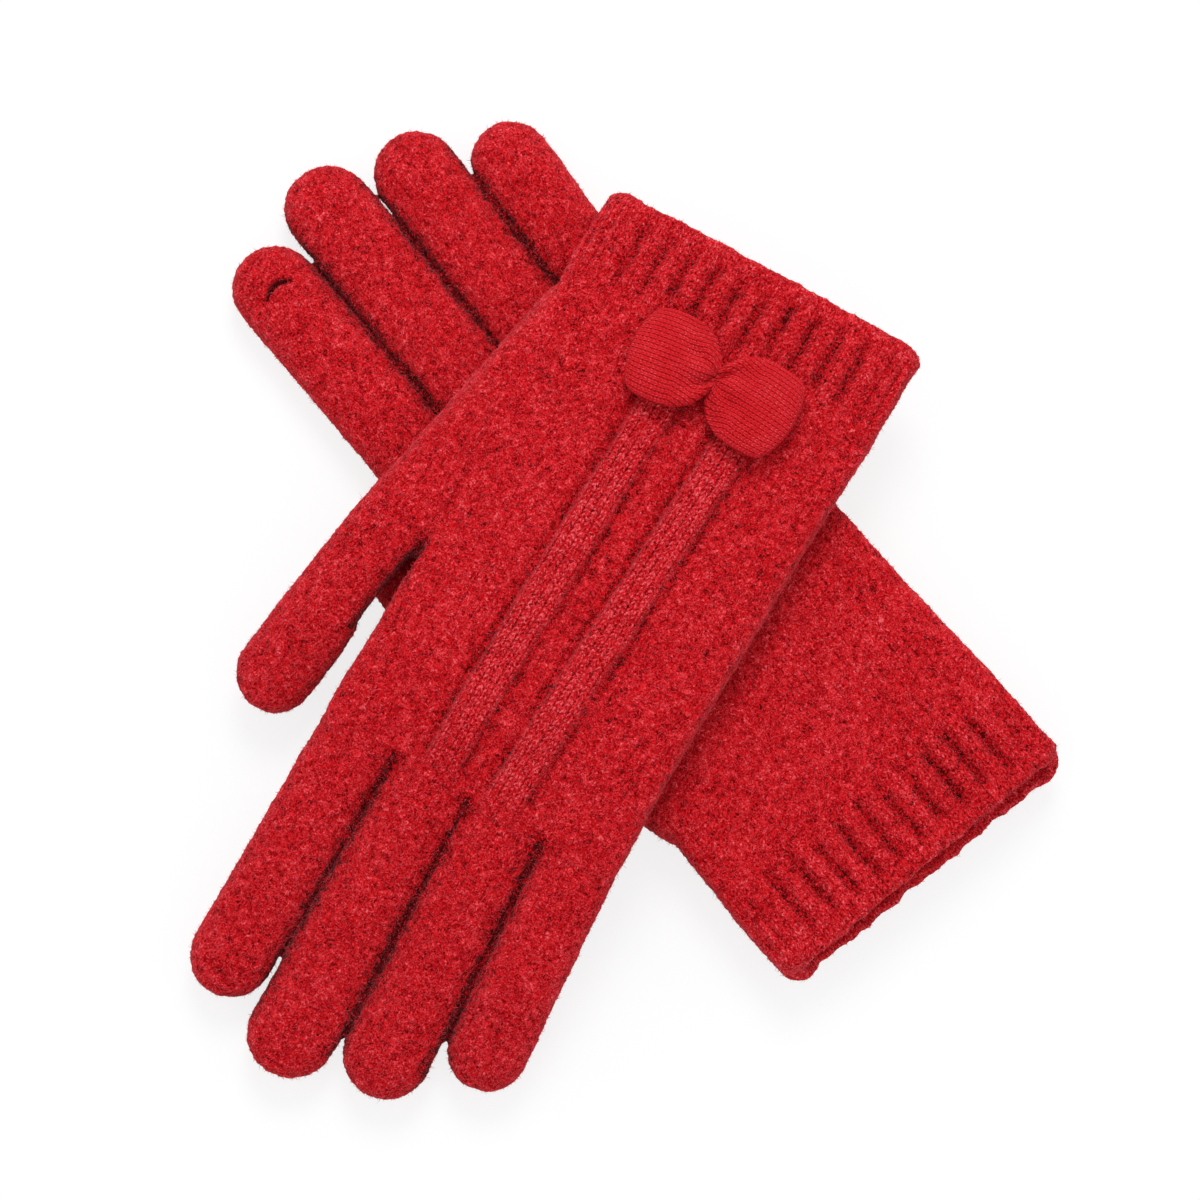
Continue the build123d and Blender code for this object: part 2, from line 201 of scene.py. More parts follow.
# ---- each glove's place
class Place:
    """Flat glove space: x to the thumb side, y to the fingers, z out of the back; then draped."""

    def __init__(self, name):
        self.name = name
        self.upper = name == "upper"
        lower_way = np.array([math.cos(HEADINGS["lower"]), math.sin(HEADINGS["lower"]), 0])
        sideways = np.cross([0, 0, 1], lower_way)
        normal = np.array([0, 0, 1]) * math.cos(LOWER_TILT) + lower_way * math.sin(LOWER_TILT)
        way = np.array([math.cos(HEADINGS[name]), math.sin(HEADINGS[name]), 0])
        self.y = unit(way - normal * (way @ normal))
        self.z = unit(normal) * (1 if BACK_UP[name] else -1)
        self.x = np.cross(self.y, self.z)
        self.origin = np.zeros(3)
        # the index finger's knuckle lies where the frame has its hinge
        flat = self.on_finger("index", np.array([[0.0, DIGITS[name]["index"].knuckle, 0.0]]))
        self.origin = self.hinge("index")[0] - self.to_world(flat)[0]

    def drape(self, p):
        """Bends the flat hand down from where it leaves the glove below it."""
        if not self.upper:
            return p
        out = p.copy()
        along = p[:, 1] - DRAPE_START
        arc = np.clip(along / DRAPE_RADIUS, 0, DRAPE_ANGLE)
        straight = along - arc * DRAPE_RADIUS
        bent = along > 0
        y = DRAPE_START + DRAPE_RADIUS * np.sin(arc) + straight * np.cos(arc) + p[:, 2] * np.sin(arc)
        z = -DRAPE_RADIUS * (1 - np.cos(arc)) - straight * np.sin(arc) + p[:, 2] * np.cos(arc)
        out[:, 1] = np.where(bent, y, p[:, 1])
        out[:, 2] = np.where(bent, z, p[:, 2])
        return out

    def to_world(self, p):
        q = self.drape(p)
        return self.origin + q[:, :1] * self.x + q[:, 1:2] * self.y + q[:, 2:] * self.z

    def on_finger(self, digit, p):
        """From a finger's own space (x across, y along from the knuckle line) to the flat glove."""
        finger = DIGITS[self.name][digit]
        return splayed(p, (finger.root, KNUCKLE_LINE), finger.splay)

    def finger_space(self, digit, p):
        finger = DIGITS[self.name][digit]
        return unsplayed(p, (finger.root, KNUCKLE_LINE), finger.splay)

    def on_thumb(self, p):
        return splayed(p, THUMBS[self.name].root, THUMBS[self.name].splay)

    def thumb_space(self, p):
        return unsplayed(p, THUMBS[self.name].root, THUMBS[self.name].splay)

    def hinge(self, digit):
        joint = joints[f"{self.name}_{digit}_curl"]
        return np.array(joint["pos_m"]) / MM, unit(joint["axis"])

    def finger_droop(self, digit):
        """Angle that a finger's end lies below its root's slope, so that its tip is on the table."""
        if not self.upper:
            return 0.0
        finger = DIGITS[self.name][digit]
        centre, axis = self.hinge(digit)
        ahead = np.array([[0, finger.knuckle, 0], [0, finger.knuckle + 10, 0.0]])
        ahead = self.to_world(self.on_finger(digit, ahead))
        way = unit(ahead[1] - ahead[0])
        radius = FINGER_THICKNESS / 2
        goal = (radius + TABLE_GAP - centre[2]) / (finger.tip - finger.knuckle - radius)
        return min(np.linspace(-0.3, 0.3, 601),
                   key=lambda a: abs(turn_about(way[None], np.zeros(3), axis, np.array([a]))[0, 2] - goal))

    def thumb_droop(self, p, along):
        """Turns thumb points down from the hand's plane about the thumb's own cross axis."""
        thumb = THUMBS[self.name]
        a = math.radians(thumb.splay)
        pivot = self.to_world(np.array([[*thumb.root, 0.0]]))[0]
        side = self.x * math.cos(a) - self.y * math.sin(a)
        angle = -math.radians(thumb.droop) * smooth(along, -16, 8)
        return turn_about(p, pivot, side, angle)


# ---- mesh building
HAND_AROUND, DIGIT_AROUND = 150, 72     # points round a ring
RING_STEP, TIP_RINGS = 3.0, 14
OUTER_POWER, INNER_POWER, DIGIT_POWER = 5.2, 3.6, 2.25      # superellipses: 2 is round, more is squarer
TIP_RADIUS = 1.02       # to half a finger's width
TIP_NARROWS, TIP_THINS = 0.92, 0.55     # powers by which a tip's section closes in


def superellipse(count, half_width, half_height, power):
    a = np.linspace(0, 2 * math.pi, count, endpoint=False)
    c, s = np.cos(a), np.sin(a)
    r = 2 / power
    return np.sign(c) * np.abs(c) ** r * half_width, np.sign(s) * np.abs(s) ** r * half_height


def lofted(rings):
    """Closed mesh through rings of equal point count."""
    count = len(rings[0])
    points = np.concatenate(rings + [rings[0].mean(0)[None], rings[-1].mean(0)[None]])
    faces = []
    for r in range(len(rings) - 1):
        a, b = r * count, (r + 1) * count
        for k in range(count):
            n = (k + 1) % count
            faces.append((a + k, a + n, b + n, b + k))
    first, last = len(rings) * count, len(rings) * count + 1
    end = (len(rings) - 1) * count
    for k in range(count):
        n = (k + 1) % count
        faces.append((first, n, k))
        faces.append((last, end + k, end + n))
    return points, faces


def edges_at(t):
    """The hand's thumb side and little finger's side at distance t from the cuff end."""
    table = np.array(OUTLINE)
    return np.interp(t, table[:, 0], table[:, 1]), np.interp(t, table[:, 0], table[:, 2])


def middle_at(t):
    """The hand's middle and half width there."""
    thumb_side, little_side = edges_at(t)
    return (thumb_side + little_side) / 2, (thumb_side - little_side) / 2


def hand_ring(t, inset):
    """Section of the hand at t. It is rounded at the cuff's corners and under the finger roots."""
    middle, half = middle_at(t)
    half -= inset
    half -= CORNER - math.sqrt(CORNER ** 2 - max(0.0, CORNER - t) ** 2)
    share = min(max((t - HAND_END + END_ROUND) / END_ROUND, 0.0), 0.98)
    drop = HAND_THICKNESS / 2 * (1 - math.sqrt(1 - share ** 2))
    x, z = superellipse(HAND_AROUND, half - drop, HAND_THICKNESS / 2 - inset - drop,
                        OUTER_POWER if inset == 0 else INNER_POWER)
    return np.stack([middle + x, np.full(HAND_AROUND, float(t)), z], 1)


def slot_ring(count, half_width, half_height):
    """Flat middle, round sides."""
    a = np.linspace(0, 2 * math.pi, count, endpoint=False)
    flat = max(half_width - half_height, 0)
    side = min(half_width, half_height)
    return np.cos(a) * side + flat * np.tanh(3.2 * np.cos(a)) / math.tanh(3.2), np.sin(a) * half_height


def tube_quads(rings, around):
    """Faces between rings whose points are numbered one ring after another."""
    index = np.arange(rings * around).reshape(rings, around)
    after = np.roll(index, -1, 1)
    return np.stack([index[:-1], after[:-1], after[1:], index[1:]], -1).reshape(-1, 4)


def hand_tube():
    """Down the outside from the finger roots, round the cuff's edge and up the inside."""
    outer = [hand_ring(t, 0) for t in np.arange(HAND_END, 145.0, -1.5)]
    outer += [hand_ring(t, 0) for t in np.arange(144.0, 2.0, -RING_STEP)]
    rolled = [hand_ring(2.2, -0.1), hand_ring(1.0, 0.2), hand_ring(0.3, 0.8), hand_ring(0.0, WALL / 2),
              hand_ring(0.3, WALL - 0.7), hand_ring(1.4, WALL)]
    inner = [hand_ring(t, WALL) for t in np.arange(4.0, CAVITY_DEPTH, 4.0)]
    return lofted(outer + rolled + inner)


def finger_rings(width, thickness, start, tip):
    """Rings along y; the tip is round in plan and in side view."""
    radius = width / 2 * TIP_RADIUS
    places = [(y, 1.0) for y in np.arange(start, tip - radius, RING_STEP)]
    places += [(tip - radius + radius * math.sin(a), math.cos(a))
               for a in np.linspace(0, math.pi / 2, TIP_RINGS)[:-1]]
    rings = []
    for y, share in places:
        x, z = superellipse(DIGIT_AROUND, width / 2 * share ** TIP_NARROWS,
                            thickness / 2 * share ** TIP_THINS, DIGIT_POWER)
        rings.append(np.stack([x, np.full(DIGIT_AROUND, y), z], 1))
    return rings


def finger_tube(place, digit):
    finger, plump = DIGITS[place.name][digit], FINGER_PLUMP[place.name][digit]
    rings = finger_rings(finger.width + 2 * plump, FINGER_THICKNESS, -8.0, finger.tip - TIP_SLACK[place.name])
    return lofted([place.on_finger(digit, ring) for ring in rings])


def finger_core(place, digit):
    """An inner skin. It closes a finger's sides where its outer one is joined to a neighbour's."""
    finger = DIGITS[place.name][digit]
    below = SLIT_DEPTH + 0.6 if digit == "index" else CORE_DEPTH    # clear of the slit
    rings = finger_rings(finger.width - 2 * CORE_DEPTH, FINGER_THICKNESS - 2 * below,
                         finger.knuckle - BLEND_REACH - 2.0, finger.tip - TIP_SLACK[place.name] - CORE_DEPTH)
    return place.on_finger(digit, np.concatenate(rings)), tube_quads(len(rings), DIGIT_AROUND)


def thumb_tube(place):
    """The thumb and, before it, the gusset that leads to it from inside the hand."""
    thumb = THUMBS[place.name]
    rings = finger_rings(thumb.width, thumb.thick, 0.0, thumb.length - TIP_SLACK[place.name])
    for ring in rings:
        clear = CROTCH * smooth(ring[:, 1], -1, 4) * (1 - smooth(ring[:, 1], 14, 34))
        ring[:, 0] += np.where(ring[:, 0] < 0, -2 * ring[:, 0] / thumb.width, 0) * clear
    rings = [place.on_thumb(ring) for ring in rings]
    a = math.radians(thumb.splay)
    start_thick = HAND_THICKNESS - 0.4
    gusset = []
    for s in np.linspace(0, 1, 18)[:-1]:
        x, z = slot_ring(DIGIT_AROUND, thumb.width / 2, (start_thick - s * (start_thick - thumb.thick)) / 2)
        centre = np.array(thumb.gusset) * (1 - s) + np.array(thumb.root) * s
        gusset.append(np.stack([centre[0] + x * math.cos(a), centre[1] - x * math.sin(a), z], 1))
    return lofted(gusset + rings)


def shown(name, data):
    """A new object in the scene."""
    obj = bpy.data.objects.new(name, data)
    bpy.context.scene.collection.objects.link(obj)
    return obj


def read_mesh(mesh):
    """Points, the corners of all faces in a row, and how many each face has."""
    points = np.empty(len(mesh.vertices) * 3)
    mesh.vertices.foreach_get("co", points)
    loops = np.empty(len(mesh.loops), int)
    mesh.loops.foreach_get("vertex_index", loops)
    sizes = np.empty(len(mesh.polygons), int)
    mesh.polygons.foreach_get("loop_total", sizes)
    return points.reshape(-1, 3), loops, sizes


def fused(place):
    """One closed skin round the hand, fingers and thumb, in flat glove space."""
    tubes = [hand_tube(), thumb_tube(place)] + [finger_tube(place, d) for d in DIGITS[place.name]]
    points, faces, start = [], [], 0
    for p, f in tubes:
        points.append(p)
        faces += [tuple(i + start for i in face) for face in f]
        start += len(p)
    mesh = bpy.data.meshes.new("fused")
    mesh.from_pydata(np.concatenate(points).tolist(), [], faces)
    mesh.update()
    obj = shown("fused", mesh)
    remesh = obj.modifiers.new("remesh", "REMESH")
    remesh.mode = "VOXEL"
    remesh.voxel_size = VOXEL
    relax = obj.modifiers.new("relax", "SMOOTH")
    relax.factor, relax.iterations = 0.5, 5
    bpy.context.view_layer.update()
    mesh = bpy.data.meshes.new_from_object(obj.evaluated_get(bpy.context.evaluated_depsgraph_get()))
    bpy.data.objects.remove(obj)
    skin = read_mesh(mesh)
    bpy.data.meshes.remove(mesh)
    return skin


# ---- knit coordinates and regions
PIECES = ["hand", "cuff", "index", "middle", "ring", "little", "thumb"]
HAND, CUFF, INDEX, THUMB = (PIECES.index(kind) for kind in ("hand", "cuff", "index", "thumb"))


def unwrap(x, z, half_width, half_height):
    """Distance round a lying tube from its middle line, the same above and below."""
    flat = half_width - half_height
    beyond = np.maximum(np.abs(x) - flat, 0)
    angle = np.arctan2(beyond, np.maximum(np.abs(z), 1e-3))
    return np.sign(x) * (np.minimum(np.abs(x), flat) + half_height * angle * (beyond > 0))


def knit_space(place, p):
    """For each point: the tube it belongs to, and its place across and along that tube's knit."""
    middle, half = middle_at(p[:, 1])
    across = unwrap(p[:, 0] - middle, p[:, 2], half, HAND_THICKNESS / 2)
    away = from_band(p)
    across = np.where((np.abs(away) < BAND_HALF) & (p[:, 2] > 0) & (p[:, 1] > BAND_START - 10), away, across)
    along = p[:, 1].copy()
    tube = np.full(len(p), HAND)
    reach = np.full(len(p), 1e3)
    for k, (digit, finger) in enumerate(DIGITS[place.name].items()):
        q = place.finger_space(digit, p)
        near = np.abs(q[:, 0]) / (finger.width / 2)
        mine = (q[:, 1] > 2.5) & (near < reach) & (near < 1.5)
        reach = np.where(mine, near, reach)
        tube = np.where(mine, PIECES.index(digit), tube)
        round_it = unwrap(q[:, 0], q[:, 2], finger.width / 2, FINGER_THICKNESS / 2)
        across = np.where(mine, round_it + FINGER_ACROSS * k, across)
        along = np.where(mine, q[:, 1] + FINGER_ALONG, along)
    thumb = THUMBS[place.name]
    q = place.thumb_space(p)
    mine = (q[:, 0] > -thumb.width / 2 - 0.55) & (p[:, 1] > thumb.root[1] - 40) & (q[:, 1] < thumb.length + 3)
    mine &= (p[:, 0] > edges_at(p[:, 1])[0] - 1.0) | (q[:, 1] > 3)
    mine &= tube == HAND
    tube = np.where(mine, THUMB, tube)
    round_it = unwrap(q[:, 0], q[:, 2], thumb.width / 2, thumb.thick / 2)
    across = np.where(mine, round_it + THUMB_ACROSS, across)
    along = np.where(mine, q[:, 1] + THUMB_ALONG, along)
    return tube, across, along


def piece_of(place, p, tube):
    """The visible piece that each point belongs to."""
    piece = np.full(len(p), HAND)
    piece[p[:, 1] < CUFF_LENGTH + 3.0] = CUFF
    for digit, finger in DIGITS[place.name].items():
        k = PIECES.index(digit)
        along = place.finger_space(digit, p)[:, 1]
        piece[(tube == k) & (along > finger.knuckle - BLEND_REACH - CUT_BEFORE_BLEND)] = k
    piece[(tube == THUMB) & (place.thumb_space(p)[:, 1] > THUMB_SPLIT)] = THUMB
    return piece


def is_inside(p):
    """The inner wall seen through the wrist opening."""
    middle, half = middle_at(p[:, 1])
    deep = (p[:, 1] > HEM_DEPTH) & (p[:, 1] < CAVITY_DEPTH + 1)
    within = np.abs(p[:, 0] - middle) < half - WALL + 1.0
    return deep & within & (np.abs(p[:, 2]) < HAND_THICKNESS / 2 - WALL + 0.9)


def stitches(across, along, wale, course):
    """Height of a plain knit, 0 to 1: two slanting legs in each column."""
    u = across / wale
    a = np.abs(u - np.floor(u) - 0.5) * 2
    row = along / course - LEG_SLANT * a
    leg = 0.5 + 0.5 * np.cos(2 * math.pi * row)
    return leg * (1 - np.abs(2 * a - 1) ** LEG_ROUND)


def rib_relief(p):
    """Wide ribs across the cuff, and narrow ones where the cuff turns over at its sides."""
    thumb_side, little_side = edges_at(p[:, 1])
    phase = (p[:, 0] - RIB_SHIFT + 0.45 * noise(p, 15.0, 5)) / RIB_PITCH
    away = (phase - np.floor(phase) - 0.5) * RIB_PITCH
    groove = np.exp(-(away / 1.65) ** 2) * (1.05 + 0.2 * noise(p, 9.0, 15))
    narrow = np.cos(2 * math.pi * p[:, 0] / 3.0)
    side = smooth(np.maximum(p[:, 0] - thumb_side + 10, little_side + 9 - p[:, 0]), 0, 4)
    reach = CUFF_LENGTH - 3.0 + 2.5 * noise(p, 6.0, 8)
    there = smooth(p[:, 1], 3.0, 7.0) * (1 - smooth(p[:, 1], reach - 3.0, reach + 4.0))
    return there * ((0.45 - 1.55 * groove) * (1 - side) + narrow * 0.35 * side)


def from_band(p):
    """Signed distance from the middle line of the nearer band on the back."""
    share = np.clip((p[:, 1] - BAND_START) / (BAND_END - BAND_START), 0, 1)
    wander = 0.35 * noise(p, 14.0, 9)
    away = [p[:, 0] - (start + share * (end - start)) + wander for start, end in BANDS]
    return np.where(np.abs(away[0]) < np.abs(away[1]), away[0], away[1])


def band_relief(p):
    """Two raised bands down the back, columns of stitches between two grooves; and where they are."""
    there = smooth(p[:, 1], BAND_START - 16, BAND_START - 4) * (1 - smooth(p[:, 1], BAND_END - 8, BAND_END))
    x = from_band(p)
    inside = 1 - smooth(np.abs(x), BAND_HALF - 1.0, BAND_HALF + 0.2)
    columns = 0.5 - 0.5 * np.cos(2 * math.pi * x / WALE)
    groove = np.exp(-((np.abs(x) - BAND_HALF - 1.0) / 1.1) ** 2)
    return there * (inside * (0.62 + 0.28 * columns) - 0.80 * groove), there * inside


def hem_relief(p):
    """The rolled edge of the cuff."""
    roll = np.exp(-((p[:, 1] - 1.6) / 1.8) ** 2)
    return roll * (0.25 + 0.25 * noise(p, 3.2, 12))


def hem_scallops(place, p):
    """How far the cuff's edge runs out at each rib; the layer that lies below runs out further."""
    edge = 1 - smooth(p[:, 1], 0.0, 6.0)
    scallop = 0.5 + 0.5 * np.cos(2 * math.pi * (p[:, 0] - RIB_SHIFT) / RIB_PITCH + math.pi)
    below = 0.0 if place.upper else smooth(p[:, 2], 1.0, 3.0)
    bumps = 0.35 * noise(p, 3.5, 21)
    return edge * (0.5 + 0.15 * scallop + bumps + below * (2.1 + 0.35 * scallop + 2 * bumps))


def between_digits(place, p):
    """How near each point is to where two digits meet, and whether they are joined there."""
    near, joined = np.zeros(len(p)), np.zeros(len(p))
    digits = list(DIGITS[place.name].items())
    for pair in zip(digits, digits[1:]):
        room = []
        for digit, finger in pair:
            q = place.finger_space(digit, p)
            room.append(finger.width / 2 - np.abs(q[:, 0]))
        there = smooth(q[:, 1], -1.0, 3.0) * (np.minimum(*room) > -4.0)
        here = np.exp(-((room[0] - room[1]) / 2 / 0.9) ** 2) * there
        joined = np.where(here > near, smooth(room[0] + room[1], -0.6, 0.4), joined)
        near = np.maximum(near, here)
    q = place.thumb_space(p)
    part = q[:, 0] + THUMBS[place.name].width / 2 - CROTCH / 2
    here = np.exp(-part ** 2) * smooth(q[:, 1], -5, 1) * (1 - smooth(q[:, 1], 20, 26))
    joined = np.where(here > near, 1.0, joined)
    return np.maximum(near, here), joined


def slit_relief(place, p, tube):
    """Crescent opening on the palm side of the index fingertip, with a raised lip; its second value, the cut,
    darkens the opening as painted shade.
    """
    q = place.finger_space("index", p)
    tip = DIGITS[place.name]["index"].tip
    share = np.clip(1 - (q[:, 0] / SLIT_HALF_LENGTH) ** 2, 0, 1)
    away = q[:, 1] - (tip - SLIT_FROM_TIP) + 2.0 * (1 - share) - 1.0
    there = (tube == INDEX) & (p[:, 2] < 0) & (np.abs(q[:, 0]) < SLIT_HALF_LENGTH + 1.5)
    cut = np.exp(-(away / (0.32 + 0.40 * share)) ** 4) * smooth(share, 0.0, 0.25)
    lip = np.exp(-((away - 1.5) / 0.7) ** 2) * smooth(share, 0.0, 0.6)
    return there * (0.30 * lip - SLIT_DEPTH * cut), there * cut


def relief(place, p, tube, across, along, inside):
    """How far the knit stands out at each point, its painted shade and highlight, and how plainly its
    stitches show.
    """
    back = p[:, 2] > 0
    on_hand = tube == HAND
    band, band_inside = band_relief(p)
    band_inside = band_inside * (on_hand & back)
    warp = 0.35 * noise(p, 5.0, 1)
    knit = stitches(across + warp * (1 - band_inside), along + 0.35 * noise(p, 4.0, 3), WALE, COURSE)
    bent = p + 0.5 * np.stack([noise(p, 2.1, 16), noise(p, 2.1, 17), noise(p, 2.1, 18)], 1)
    tufts = 0.85 * noise(bent, 1.1, 4) + 0.15 * noise(p, 2.0, 6)
    soft = 0.14 * noise(p, 7.0, 7) + 0.28 * noise(p, 24.0, 10)
    shape = np.where(on_hand, rib_relief(p) + hem_relief(p), 0) + np.where(on_hand & back, band, 0)
    slit, slit_dark = slit_relief(place, p, tube)
    between, joined = between_digits(place, p)
    crease = -CREASE_DEPTH * between * joined
    ribbed = on_hand * (1 - smooth(p[:, 1], CUFF_LENGTH - 4, CUFF_LENGTH + 2))
    worn = np.clip(noise(p, 22.0, 19), 0, 1)
    plain = np.clip(0.26 + 0.22 * worn + 0.65 * band_inside + 0.25 * ribbed, 0, 1)
    height = (0.12 + 0.22 * plain) * knit + (0.34 - 0.14 * plain) * tufts + soft + shape + crease + slit
    height = np.where(inside, 0.10 * tufts, height)
    # painted shade and highlight: darker in rib and band grooves and between tufts, lighter on raised parts
    # and tufts; 0.5 is plain
    shade = 0.5 + 0.28 * np.minimum(shape, 0) + 0.05 * np.maximum(shape, 0) + 0.26 * tufts * (1 - 0.5 * plain)
    # more painted shade: in the gaps between stitches, along and beside the crease where digits meet, and in
    # the fingertip slit
    shade += 0.38 * plain * (knit - 0.40) - 0.6 * between - 0.24 * between ** 0.15 - 1.4 * slit_dark
    return height, np.clip(shade, 0, 1), plain


# ---- pieces from the skin
def vertex_normals(points, loops, sizes):
    starts = np.concatenate([[0], np.cumsum(sizes)[:-1]])
    a, b, c = points[loops[starts]], points[loops[starts + 1]], points[loops[starts + 2]]
    face = np.cross(b - a, c - a)
    total = np.zeros_like(points)
    for k in range(int(sizes.min())):
        np.add.at(total, loops[starts + k], face)
    length = np.linalg.norm(total, axis=1, keepdims=True)
    return total / np.maximum(length, 1e-9)


def make_piece(name, points, quads, across, along, shade, plain, materials, inner=None):
    """A mesh of quads, with its knit coordinates as UV, and its painted shade and highlight and its stitches
    as attributes.
    """
    used, flat = np.unique(quads, return_inverse=True)
    quads = flat.reshape(quads.shape)
    mesh = bpy.data.meshes.new(name)
    mesh.vertices.add(len(used))
    mesh.vertices.foreach_set("co", (points[used] * MM).ravel())
    mesh.loops.add(quads.size)
    mesh.loops.foreach_set("vertex_index", quads.ravel())
    mesh.polygons.add(len(quads))
    mesh.polygons.foreach_set("loop_start", np.arange(len(quads)) * 4)
    mesh.polygons.foreach_set("loop_total", np.full(len(quads), 4))
    mesh.update(calc_edges=True)
    mesh.validate()
    uv = mesh.uv_layers.new(name="knit")
    pair = np.stack([across[used], along[used]], 1)
    uv.data.foreach_set("uv", pair[quads.ravel()].ravel())
    # the yarn attribute carries the painted shade and highlight from the knit's relief
    for key, values in (("yarn", shade), ("plain", plain)):
        layer = mesh.attributes.new(key, "FLOAT", "POINT")
        layer.data.foreach_set("value", values[used].astype(np.float32))
    for material in materials:
        mesh.materials.append(material)
    if inner is not None:
        mesh.polygons.foreach_set("material_index", inner.astype(np.int32))
    mesh.polygons.foreach_set("use_smooth", np.ones(len(quads), bool))
    return shown(name, mesh)


def make_nap(name, rng, points, quads, count):
    """Loose fibres that stand off the knit: thin curved three-sided hairs."""
    a, b, c = points[quads[:, 0]], points[quads[:, 1]], points[quads[:, 2]]
    face = np.cross(b - a, c - a)
    area = np.linalg.norm(face, axis=1)
    normal = face / np.maximum(area[:, None], 1e-9)
    pick = rng.choice(len(quads), count, p=area / area.sum())
    u, w = rng.random((count, 1)), rng.random((count, 1))
    d = points[quads[pick, 3]]
    root = (a[pick] * (1 - u) + b[pick] * u) * (1 - w) + (d * (1 - u) + c[pick] * u) * w
    n = normal[pick]
    random_way = rng.normal(size=(count, 3))
    side = random_way - (random_way * n).sum(1, keepdims=True) * n
    side /= np.linalg.norm(side, axis=1, keepdims=True)
    size = rng.uniform(*NAP_LENGTH, (count, 1)) * rng.uniform(0.5, 1.0, (count, 1))
    rise = rng.uniform(*NAP_RISE, (count, 1))
    curl = rng.normal(0, NAP_CURL, (count, 3))
    middle = root + (n * rise + side * 0.6 + curl * 0.3) * size * 0.5
    tip = middle + (n * (rise - 0.35) + side * 0.9 + curl) * size * 0.5
    thick = rng.uniform(*NAP_THICKNESS, (count, 1))
    other = np.cross(n, side)
    corners = [side * math.cos(k) + other * math.sin(k) for k in (0.0, 2.0944, 4.1888)]
    low = [root - n * 0.15 + k * thick for k in corners]
    mid = [middle + k * thick * 0.8 for k in corners]
    stack = np.stack(low + mid + [tip], 1).reshape(-1, 3)
    stack[:, 2] = np.maximum(stack[:, 2], NAP_LOW)
    base = np.arange(count)[:, None] * 7    # three points below, three at the middle, one tip
    around = [(k, (k + 1) % 3) for k in range(3)]
    sides = [np.concatenate([base + k, base + m, base + 3 + m, base + 3 + k], 1) for k, m in around]
    ends = [np.concatenate([base + 3 + k, base + 3 + m, base + 6], 1) for k, m in around]
    ends.append(np.concatenate([base + 2, base + 1, base], 1))
    sides, ends = np.concatenate(sides), np.concatenate(ends)
    mesh = bpy.data.meshes.new(name)
    mesh.vertices.add(len(stack))
    mesh.vertices.foreach_set("co", (stack * MM).ravel())
    loops = np.concatenate([sides.ravel(), ends.ravel()])
    mesh.loops.add(len(loops))
    mesh.loops.foreach_set("vertex_index", loops)
    totals = np.concatenate([np.full(len(sides), 4), np.full(len(ends), 3)])
    mesh.polygons.add(len(totals))
    mesh.polygons.foreach_set("loop_start", np.concatenate([[0], np.cumsum(totals)[:-1]]))
    mesh.polygons.foreach_set("loop_total", totals)
    mesh.update(calc_edges=True)
    mesh.materials.append(nap_material)
    return shown(name, mesh)


# ---- materials
YARN_GLOSS, SHEEN_ROUGH, SHEEN_TINT = 0.08, 0.30, (1.0, 0.40, 0.46, 1)
BUMP_METRES = 0.0006


